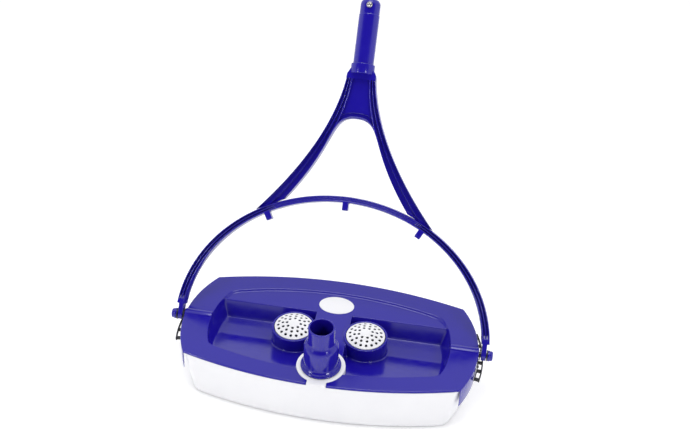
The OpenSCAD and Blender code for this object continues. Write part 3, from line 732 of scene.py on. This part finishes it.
# Dome of a sphere through the edge and the crown, a flat disc at the crown, and three rings of holes.
def makeCap(side, name, node):
    c = capSettings
    base = towerTop + c["seat"]
    sphere = (c["radius"] ** 2 + c["rise"] ** 2) / (2 * c["rise"])
    middle = base + c["rise"] - sphere
    r = np.linspace(c["disc"] + 0.5, c["radius"] - 0.5, 28)
    dome = np.stack([r, middle + np.sqrt(sphere ** 2 - r ** 2)], axis=1)
    s = np.linspace(c["skirtIn"] - 0.5, 0, 20)
    inner = np.stack([s, middle + np.sqrt((sphere - c["wall"]) ** 2 - s ** 2)], axis=1)
    crown, low = dome[0, 1] + c["discLift"], base - c["skirtDepth"]
    profile = np.concatenate([[(0, crown), (c["disc"] - 0.5, crown), (c["disc"] - 0.1, crown - 0.1)], dome,
                              [(c["radius"], base + 0.1), (c["radius"] - 0.25, base - 0.35),
                               (c["skirt"], base - 1), (c["skirt"], low), (c["skirtIn"], low),
                               (c["skirtIn"], inner[0, 1] - 0.4)], inner])
    x, y, holes = side * towerX, towerY, []
    for radius, count in c["rings"]:
        turn = 2 * np.pi * (np.arange(count) + (0.5 if side > 0 else 0)) / count - np.pi / 2
        spots = [(x + radius * math.cos(a), y + radius * math.sin(a), 0) for a in turn]
        holes += [drill(c["holeR"], base - 9, base + 12, spot, 20) for spot in spots]
    makePiece(name, [lathe(profile, (x, y, 0), 128)], toHead, "head", "white_abs", [node], 30, holes)


makeCap(-1, "leftReliefCap", "left_relief_cap")
makeCap(1, "rightReliefCap", "right_relief_cap")
print("badge and caps: done")


hoseSettings = {"stub": 19.0, "stubBore": 16.4, "sleeve": 25.0, "sleeveBore": 21.0, "neck": 24.0,
                "flange": 29.4, "low": 60, "sleeveTop": 116, "stubLow": 123, "boreLow": 112, "boreHigh": 120,
                "rounds": (0.4, 0.3, 0.7, 0.6, 0.6, 0.9, 1, 1, 3.4, 2.6, 1.1, 0.7, 2, 2, 0.4)}


# Two hose diameters over a stepped flange, with a stepped bore, lathed about the seat's axis.
def makeConnector():
    c = hoseSettings
    flange, sleeve, stub = c["flange"], c["sleeve"], c["stub"]
    profile = roundedCorners(
        [(c["neck"], c["low"]), (c["neck"], rimZ + 1), (flange, rimZ + 1), (flange, rimZ + 3.4),
         (flange - 1.6, rimZ + 4.6), (flange - 1.6, rimZ + 6.6), (sleeve + 1, rimZ + 8.4),
         (sleeve, rimZ + 10), (sleeve, c["sleeveTop"]), (stub, c["stubLow"]), (stub, hoseTop),
         (c["stubBore"], hoseTop), (c["stubBore"], c["boreHigh"]), (c["sleeveBore"], c["boreLow"]),
         (c["sleeveBore"], c["low"])],
        c["rounds"], 5)
    makePiece("hoseSwivel", [lathe(profile, (0, hoseY, 0), 128)], toHead, "swivel", "blue_abs",
              ["hose_swivel"], 34)


makeConnector()
print("hose connector: done")


handleSettings = {
    # Beams: half depth of arch and legs, thickness of flanges and web, corner bead, draft, the web's rib
    "half": 8.0, "legHalf": 7.9, "flange": 2.6, "web": 2.2, "bead": 1.15, "draft": 1, "rib": 0.8,
    # Arch: half axes of its outer and inner ellipse, height of its feet, places of the pegs under it
    "archOuter": (238, 207.5), "archInner": (224.5, 196.5), "footV": 17, "pegs": (0, -116, 116),
    "pegSize": ((9, 15.8), (9, 15.8), (8.6, 15.4), (7.6, 14.4)), "pegReach": (-3, 9.2, 10.2, 10.8),
    # Legs: the four points of each cubic, with the crotch's curve between them; half thickness of the plate
    "legOuter": ((22, 390), (29, 324), (65, 250), (134, 172)),
    "legInner": ((11, 390), (12.5, 355), (19, 328), (34.8, 292.8)),
    "crotch": ((0, 324), (40.1, 324), (22, 284.7), (92, 192.5)), "plateHalf": 2.9, "plateTuck": 1.8,
    # Shoulder block: width, depth and height of its sections
    "shoulder": ((45, 15.7, 383.0), (44, 15.7, 390), (36.4, 15.7, 397), (34, 14, 399)),
    # Eyes: x, and how much their outline is scaled there
    "eyeSections": ((226, 0.93), (226.7, 1), (232.3, 1), (233, 0.93)), "eyeR": 8, "eyeTop": 24,
    "eyeBore": 5.5,
    # Spigot: collar, tube, lead-in and nose, its bore, and the lock buttons' hole
    "collar": 18.0, "collarLow": 391, "collarTop": 406, "spigot": 15.5, "spigotTop": 479.6, "lead": 15.0,
    "leadTop": 480.6, "noseR": 10, "noseV": 495, "bore": 11.5, "boreLow": 440, "tip": 502.5,
    "buttonV": 493, "buttonHole": 4.6}
depthways, lengthways = np.array([0, 0, 1.0]), np.array([0, 1.0, 0])


# H section per station: flanges at both edges, a web at a half thickness that may change along the beam, a
# low rib down the middle of the front, the front drawn in by the mould's draft, and every corner rounded.
def beamSection(width, half, web):
    c = handleSettings
    w = np.asarray(width, float)
    web = np.minimum(np.broadcast_to(web, w.shape), half - 0.02)
    o, f, high = 0 * w, 0 * w + c["flange"], 0 * w + half
    bead, draft, rib = c["bead"], c["draft"], c["rib"]
    middle, ribTop = (w + draft) / 2, np.maximum(web + 0.01, half - rib)
    across = [o, f, f, w - f, w - f, w, w - draft, w - f, w - f, middle + rib, middle + rib, middle - rib,
              middle - rib, f + draft, f + draft, o + 1.5 * draft]
    deep = [-high, -high, -web, -web, -high, -high, high, high, web, web, ribTop, ribTop, web, web, high,
            high]
    corners = np.stack([np.stack(across, axis=-1), np.stack(deep, axis=-1)], axis=-1)
    radii = [bead, bead, 0.9, 0.9, bead, bead, bead, bead, 0.6, 0.6, 0.7, 0.7, 0.6, 0.6, bead, bead]
    return roundedCorners(corners, radii, 3)


# The section is carried along the inner curve, its width reaching over to the outer curve; the web sinks from
# the beam's half depth to its own by the share given for each station.
def beam(inner, outer, half, sunk):
    span = outer - inner
    width = np.linalg.norm(span, axis=1)
    side = np.concatenate([span / width[:, None], 0 * width[:, None]], axis=1)
    path = np.concatenate([inner, 0 * width[:, None]], axis=1)
    web = half - (half - handleSettings["web"]) * sunk
    return sweep(path, side, depthways, beamSection(width, half, web))


# Both ellipses are followed by the same angle, from one foot over the top to the other; the grooves are deep
# towards the feet and shallow over the middle.
def archBeam():
    c = handleSettings
    (a, b), (p, q) = c["archOuter"], c["archInner"]
    foot = math.asin(c["footV"] / b)
    t = np.linspace(foot, math.pi - foot, 150)
    outer = np.stack([a * np.cos(t), b * np.sin(t)], axis=1)
    inner = np.stack([p * np.cos(t), q * np.sin(t)], axis=1)
    sunk = (0.25 + 0.75 * smoothStep((np.abs(inner[:, 0]) - 100) / 14)) * smoothStep((outer[:, 1] - 23) / 8)
    return beam(inner, outer, c["half"], sunk)


# Outer edge: one cubic. Inner edge: a cubic down beside the web, then the lower half of the crotch's cubic.
def legCurves(count=70):
    c = handleSettings
    outer = bezier(*c["legOuter"], np.linspace(0, 1, count))
    upper = bezier(*c["legInner"], np.linspace(0, 1, count // 2))
    lower = bezier(*c["crotch"], np.linspace(0.5, 1, count - count // 2 + 1))
    return outer, np.concatenate([upper, lower[1:]])


# The leg's two curves from the arch upwards, grooved but for both ends.
def legBeam(side):
    outer, inner = (curve[::-1] * [side, 1] for curve in legCurves())
    sunk = smoothStep((inner[:, 1] - 190) / 9) * smoothStep((387 - inner[:, 1]) / 6)
    return beam(inner, outer, handleSettings["legHalf"], sunk)


# The upper half of the crotch's cubic for t from 0 to 1, mirrored for t below 0.
def crotchCurve(t):
    mirror = np.stack([np.sign(t) + (t == 0), np.ones_like(t)], axis=1)
    return bezier(*handleSettings["crotch"], np.abs(t) * 0.5) * mirror


# Web between the legs: ruled from the crotch's curve up to the shoulder and bent at both sides onto the
# legs' inner edges; two faces and a band round them.
def crotchPlate():
    c = handleSettings
    s = np.linspace(-1, 1, 41)
    r = np.linspace(0, 1, 30)[:, None]
    bottom = crotchCurve(s)
    edge = bezier(*c["legInner"][::-1], r[:, 0])
    bend = edge - (edge[:1] * (1 - r) + edge[-1:] * r)
    topHalf, topV = c["legInner"][0]
    x = bottom[:, 0] * (1 - r) + s * topHalf * r + (bend[:, :1] + c["plateTuck"]) * s
    v = bottom[:, 1] * (1 - r) + (0 * s + topV) * r + bend[:, 1:] * np.abs(s)
    points = np.concatenate([np.stack([x, v, 0 * x + n], axis=-1).reshape(-1, 3)
                             for n in (c["plateHalf"], -c["plateHalf"])])
    return points, sheetFaces(*x.shape)


# A bead carried along the crotch's curve, set off above it along the curve's normal.
def crotchRib(offset, width, half, reach):
    t = np.linspace(-reach, reach, 61)
    curve = crotchCurve(t)
    tangent = np.gradient(curve, axis=0)
    tangent /= np.linalg.norm(tangent, axis=1)[:, None]
    normal = np.stack([-tangent[:, 1], tangent[:, 0]], axis=1)
    path = np.concatenate([curve + normal * (offset + width / 2), 0 * t[:, None]], axis=1)
    side = np.concatenate([normal, 0 * t[:, None]], axis=1)
    w, draft = width / 2, width * 0.45
    section = roundedCorners([(-w, -half), (w, -half), (w, half), (draft - w, half)], min(width * 0.3, 1.1),
                             3)
    return sweep(path, side, depthways, section)


# Arch, legs, web and its two beads, the shoulder block, and pegs that point at the arch's inside.
def makeArch():
    c = handleSettings
    shells = [archBeam(), legBeam(-1), legBeam(1), crotchPlate(), crotchRib(0, 3, 7.85, 1.0),
              crotchRib(7.5, 1.3, 4.6, 0.86)]
    levels = np.array([[0, v, 0] for _, _, v in c["shoulder"]])
    blocks = np.stack([roundedBar(w, d, 1.6) for w, d, _ in c["shoulder"]])
    shells.append(sweep(levels, (1, 0, 0), depthways, blocks))
    p, q = c["archInner"]
    peg = np.stack([roundedBar(w, d, 1.0) for w, d in c["pegSize"]])
    for u in c["pegs"]:
        root = np.array([u, q * math.sqrt(1 - (u / p) ** 2), 0])
        inward = -root / [p * p, q * q, 1]
        inward /= np.linalg.norm(inward)
        across = np.array([-inward[1], inward[0], 0])
        shells.append(sweep(root + np.array(c["pegReach"])[:, None] * inward, across, depthways, peg))
    makePiece("handleArch", shells, toHandle, "handle", "blue_abs", ["handle_frame"], 38)


# Half a circle under straight sides, carried along x and softened at both faces, then bored for the bush.
def makeEyes():
    c = handleSettings
    a = np.linspace(math.pi, 2 * math.pi, 33)
    top = [(c["eyeR"] - 0.02, c["eyeTop"]), (0.02 - c["eyeR"], c["eyeTop"])]
    outline = np.concatenate([np.stack([c["eyeR"] * np.cos(a), c["eyeR"] * np.sin(a)], axis=1), top])
    sections = np.stack([outline * scale for _, scale in c["eyeSections"]])
    eyes = [sweep(np.array([[side * x, 0, 0] for x, _ in c["eyeSections"]]), depthways, lengthways, sections)
            for side in (-1, 1)]
    holes = [drill(c["eyeBore"], side * -240, side * -215, (0, 0, 0), 48, True) for side in (-1, 1)]
    makePiece("handleEyes", eyes, toHandle, "handle", "blue_abs", ["handle_frame"], 38, holes)


# Collar, tube and rounded nose lathed with the bore, then a hole through both walls for the lock buttons.
def makeSpigot():
    c = handleSettings
    nose = np.radians(np.linspace(0, 49.4, 9))
    noseX = c["lead"] - c["noseR"]
    corners = [(0, c["collarLow"]), (c["collar"], c["collarLow"]), (c["collar"], c["collarTop"]),
               (c["spigot"], c["collarTop"]), (c["spigot"], c["spigotTop"]), (c["lead"], c["leadTop"]),
               *np.stack([noseX + c["noseR"] * np.cos(nose), c["noseV"] + c["noseR"] * np.sin(nose)], axis=1),
               (c["bore"], c["tip"]), (c["bore"], c["boreLow"]), (0, c["boreLow"])]
    rounds = [0.1, 1.2, 1.0, 0.8, 0.3, 0.3] + [0.2] * len(nose) + [0.1, 0.2, 0.1]
    points, faces = lathe(roundedCorners(corners, rounds, 4), (0, 0, 0), 96)
    hole = drill(c["buttonHole"], -30, 30, (0, c["buttonV"], 0), 40)
    makePiece("poleSpigot", [(points[:, [0, 2, 1]], faces)], toHandle, "handle", "blue_abs",
              ["handle_frame"], 34, [hole])


makeArch()
makeEyes()
makeSpigot()


# Spring buttons: a domed rim round a shallow dished centre, as radius and height above the spigot's middle
buttonSettings = {"profile": ((0, 11.4), (4.45, 11.4), (4.45, 17), (3.4, 18.2), (2.5, 18.2), (1.7, 17.5),
                              (0, 17.3)),
                  "rounds": (0.1, 0.2, 0.8, 0.5, 0.5, 0.6, 0.2)}
buttonProfile = roundedCorners(buttonSettings["profile"], buttonSettings["rounds"], 4)
for name, node, body, side in (("frontLockButton", "front_lock_button", "front_lock", 1),
                               ("rearLockButton", "rear_lock_button", "rear_lock", -1)):
    button = lathe(buttonProfile * [1, side], (0, handleSettings["buttonV"], 0), 48)
    makePiece(name, [button], toHandle, body, "steel", [node], 50)
print("handle: done")


# Pivot pins: a shank with a lead-in, a flange and a dished head, as radius and distance along x
pinSettings = {"profile": ((0, 199), (3, 199), (4, 200), (4, 235.4), (8, 235.4), (8, 238.6), (7.2, 238.9),
                           (7.2, 241.8), (6, 243), (4.6, 243), (4.2, 242.4), (0, 242.4)),
               "rounds": (0.1, 0.2, 0.3, 0.2, 0.5, 0.6, 0.3, 0.7, 0.5, 0.3, 0.3, 0.1)}
pinProfile = roundedCorners(pinSettings["profile"], pinSettings["rounds"], 4)
for name, node, side in (("leftPivotPin", "left_pivot_pin", -1), ("rightPivotPin", "right_pivot_pin", 1)):
    points, faces = lathe(pinProfile, (0, 0, pivotZ), 64, alongX=True)
    makePiece(name, [(points * [side, 1, 1], faces)], toHead, "head", "blue_abs", [node], 34)


# From, to and ribs in degrees along the end arc; strips as distance out from it and thickness
bumperSettings = {"z": 53.5, "half": 2.5, "from": -11.2, "to": 21.4, "strips": ((8.0, 2.0), (1.25, 1.5)),
                  "ribs": -10.4 + 5.9 * np.arange(6), "ribHalf": 1.9, "ribHeight": 4.8,
                  "ribReach": (1.0, 8.0)}


# Two strips along the end arc and short ribs across between them.
def makeBumper(side, name, node):
    c = bumperSettings
    shells = []
    for radius, width in c["strips"]:
        path, out = endPoint(radius, np.linspace(c["from"], c["to"], 40), side)
        shells.append(sweep(path + [0, 0, c["z"]], out, (0, 0, 1), roundedBar(width, 2 * c["half"], 0.7)))
    for degrees in c["ribs"]:
        path, out = endPoint(np.array(c["ribReach"]), np.array([degrees, degrees]), side)
        section = roundedBar(2 * c["ribHalf"], c["ribHeight"], 0.8)
        shells.append(sweep(path + [0, 0, c["z"]], np.cross(out[0], (0, 0, 1)), (0, 0, 1), section))
    makePiece(name, shells, toHead, "head", "black_plastic", [node], 40)


makeBumper(-1, "leftBumper", "left_bumper")
makeBumper(1, "rightBumper", "right_bumper")


# Bumper screws by degrees along the end arc; rows under the head by place, head radius, height and shank
screwSettings = {"shankR": 1.45, "bumperAt": (-1.55, 10.25), "bumperOut": 2.05, "bumperSize": (2.3, 1.5, 1.9),
                 "rows": (("baseScrews", "base_screws", ((112, 22), (96, 66), (96, -66)), 11.8,
                           (3.8, 1.6, 14)),
                          ("coverScrews", "cover_screws", ((60, -100), (150, -84), (60, 98), (150, 82)), 17,
                           (3.8, 2.8, 45)))}


# Domed head with a dished socket on its shank, lathed and then stood along a direction.
def screwShell(size, place, out, up=(0, 0, 1)):
    radius, height, shank = size
    neck = screwSettings["shankR"]
    profile = roundedCorners([(0, -shank), (neck, -shank), (neck, 0), (radius, 0), (radius, height * 0.5),
                              (radius * 0.55, height), (radius * 0.45, height * 0.45), (0, height * 0.4)],
                             [0.1, 0.1, 0.1, 0.1, 0.5, 0.2, 0.2, 0.1], 3)
    points, faces = lathe(profile, (0, 0, 0), 24)
    out, up = np.asarray(out, float), np.asarray(up, float)
    return points[:, :1] * np.cross(up, out) + points[:, 1:2] * up + points[:, 2:] * out + place, faces


screws = []
for side in (-1, 1):
    for degrees in screwSettings["bumperAt"]:
        place, out = endPoint(screwSettings["bumperOut"], np.array([degrees]), side)
        screws.append(screwShell(screwSettings["bumperSize"], place[0] + [0, 0, bumperSettings["z"]], out[0]))
makePiece("bumperScrews", screws, toHead, "head", "steel", ["bumper_screws"], 50)
print("pins and bumpers: done")


# Wheels: hub, web and a grooved tread between two rims, as radius and distance along x
wheelSettings = {"profile": ((2.55, -5), (5, -5), (5.6, -3.6), (11.6, -3.6), (12.2, -5), (14, -5), (15, -3.5),
                             (15, 3.5), (14, 5), (12.2, 5), (11.6, 3.6), (5.6, 3.6), (5, 5), (2.55, 5)),
                 "round": 0.5, "lobes": (24, 0.7, -3.2, 3.2, 3)}
wheelProfile = roundedCorners(wheelSettings["profile"], wheelSettings["round"], 3)
for name in ("front_left_wheel", "front_right_wheel", "rear_left_wheel", "rear_right_wheel"):
    wheel = lathe(wheelProfile, boxMiddle(name) - [0, headY, 0], 96, True, lobes=wheelSettings["lobes"])
    makePiece(name + "Tread", [wheel], toHead, name, "nylon", [name], 34)


brushSettings = {"half": 126, "rowHalf": 117, "tufts": 27, "filaments": 22, "top": 9.4, "tip": 0.7,
                 "uneven": 0.6, "spread": 1.9, "lean": 0.3, "thick": 0.34}


# Holder: a rounded channel along x. Tufts: filaments set out on a sunflower spiral, each a four-sided taper
# that leans out from its tuft's middle by the square of its length.
def makeBrush(name, holder, bristles):
    c = brushSettings
    y = boxMiddle(holder)[1] - headY
    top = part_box(holder)[1].z * 1000
    section = roundedCorners([(-6, top), (-6, top - 4), (-3, top - 4), (-3, top - 0.9), (3, top - 0.9),
                              (3, top - 4), (6, top - 4), (6, top)],
                             [0.3, 0.8, 0.4, 0.2, 0.2, 0.4, 0.8, 0.3], 3)
    path = np.array([[-c["half"], y, 0], [c["half"], y, 0]], float)
    makePiece(name + "Holder", [sweep(path, (0, 1, 0), (0, 0, 1), section)], toHead, "head", "black_plastic",
              [holder])
    x = np.linspace(-c["rowHalf"], c["rowHalf"], c["tufts"])[:, None]
    k = np.arange(c["filaments"])[None]
    radius, angle = c["spread"] * np.sqrt((k + 0.5) / c["filaments"]), k * 2.39996 + x  # the golden angle
    ux, uy = radius * np.cos(angle), radius * np.sin(angle)
    tip = c["tip"] + rng.uniform(0, c["uneven"], ux.shape)
    z = np.stack([0 * ux + c["top"], 0.5 * (tip + c["top"]), tip], axis=-1)
    share = (c["top"] - z) / (c["top"] - c["tip"])
    reach = 1 + c["lean"] * share ** 2
    cx, cy = x[..., None] + ux[..., None] * reach, y + uy[..., None] * reach
    turn = np.linspace(0, 2 * np.pi, 4, endpoint=False)
    thick = c["thick"] * (1 - 0.4 * share)[..., None]
    points = np.stack([cx[..., None] + thick * np.cos(turn), cy[..., None] + thick * np.sin(turn),
                       z[..., None] + 0 * turn], axis=-1).reshape(-1, 3)
    filament = np.concatenate([gridFaces(3, 4, False, True), [[0, 1, 2, 3], [8, 9, 10, 11]]])
    faces = (filament[None] + 12 * np.arange(ux.size)[:, None, None]).reshape(-1, 4)
    makePiece(name + "Tufts", [(points, [faces])], toHead, "head", "bristle", [bristles])


makeBrush("frontBrush", "front_brush_holder", "front_bristles")
makeBrush("rearBrush", "rear_brush_holder", "rear_bristles")
print("wheels and brushes: done")


springSettings = {"turns": 6, "coilR": 4.7, "wireR": 0.48, "closed": 0.35, "steps": 200}


# Helix with closed ends: a round wire carried up as it turns, slower over the first and last turn.
def makeSpring(side, name, node):
    c = springSettings
    low, high = (v * 1000 for v in (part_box(node)[0].z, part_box(node)[1].z))
    t = np.linspace(0, 1, c["steps"])
    rise = smoothStep(t) * c["closed"] + t * (1 - c["closed"])
    a = t * 2 * np.pi * c["turns"]
    out = np.stack([np.cos(a), np.sin(a), 0 * a], axis=1)
    path = out * c["coilR"] + np.array([side * towerX, towerY, 0])
    path[:, 2] = low + 0.5 + (high - low - 1) * rise
    turn = np.linspace(0, 2 * np.pi, 8, endpoint=False)
    wire = c["wireR"] * np.stack([np.cos(turn), np.sin(turn)], axis=1)
    spring = makePiece(name, [sweep(path, out, (0, 0, 1), wire)], toHead, "head", "steel", [node])
    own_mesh(spring)


makeSpring(-1, "leftValveSpring", "left_valve_spring")
makeSpring(1, "rightValveSpring", "right_valve_spring")

down, ahead = (0, 0, -1), (0, 1, 0)
for name, node, spots, top, size in screwSettings["rows"]:
    screws = [screwShell(size, np.array([side * x, y, top]), down, ahead)
              for side in (-1, 1) for x, y in spots]
    makePiece(name, screws, toHead, "head", "steel", [node], 50)
print("springs and screws: done")
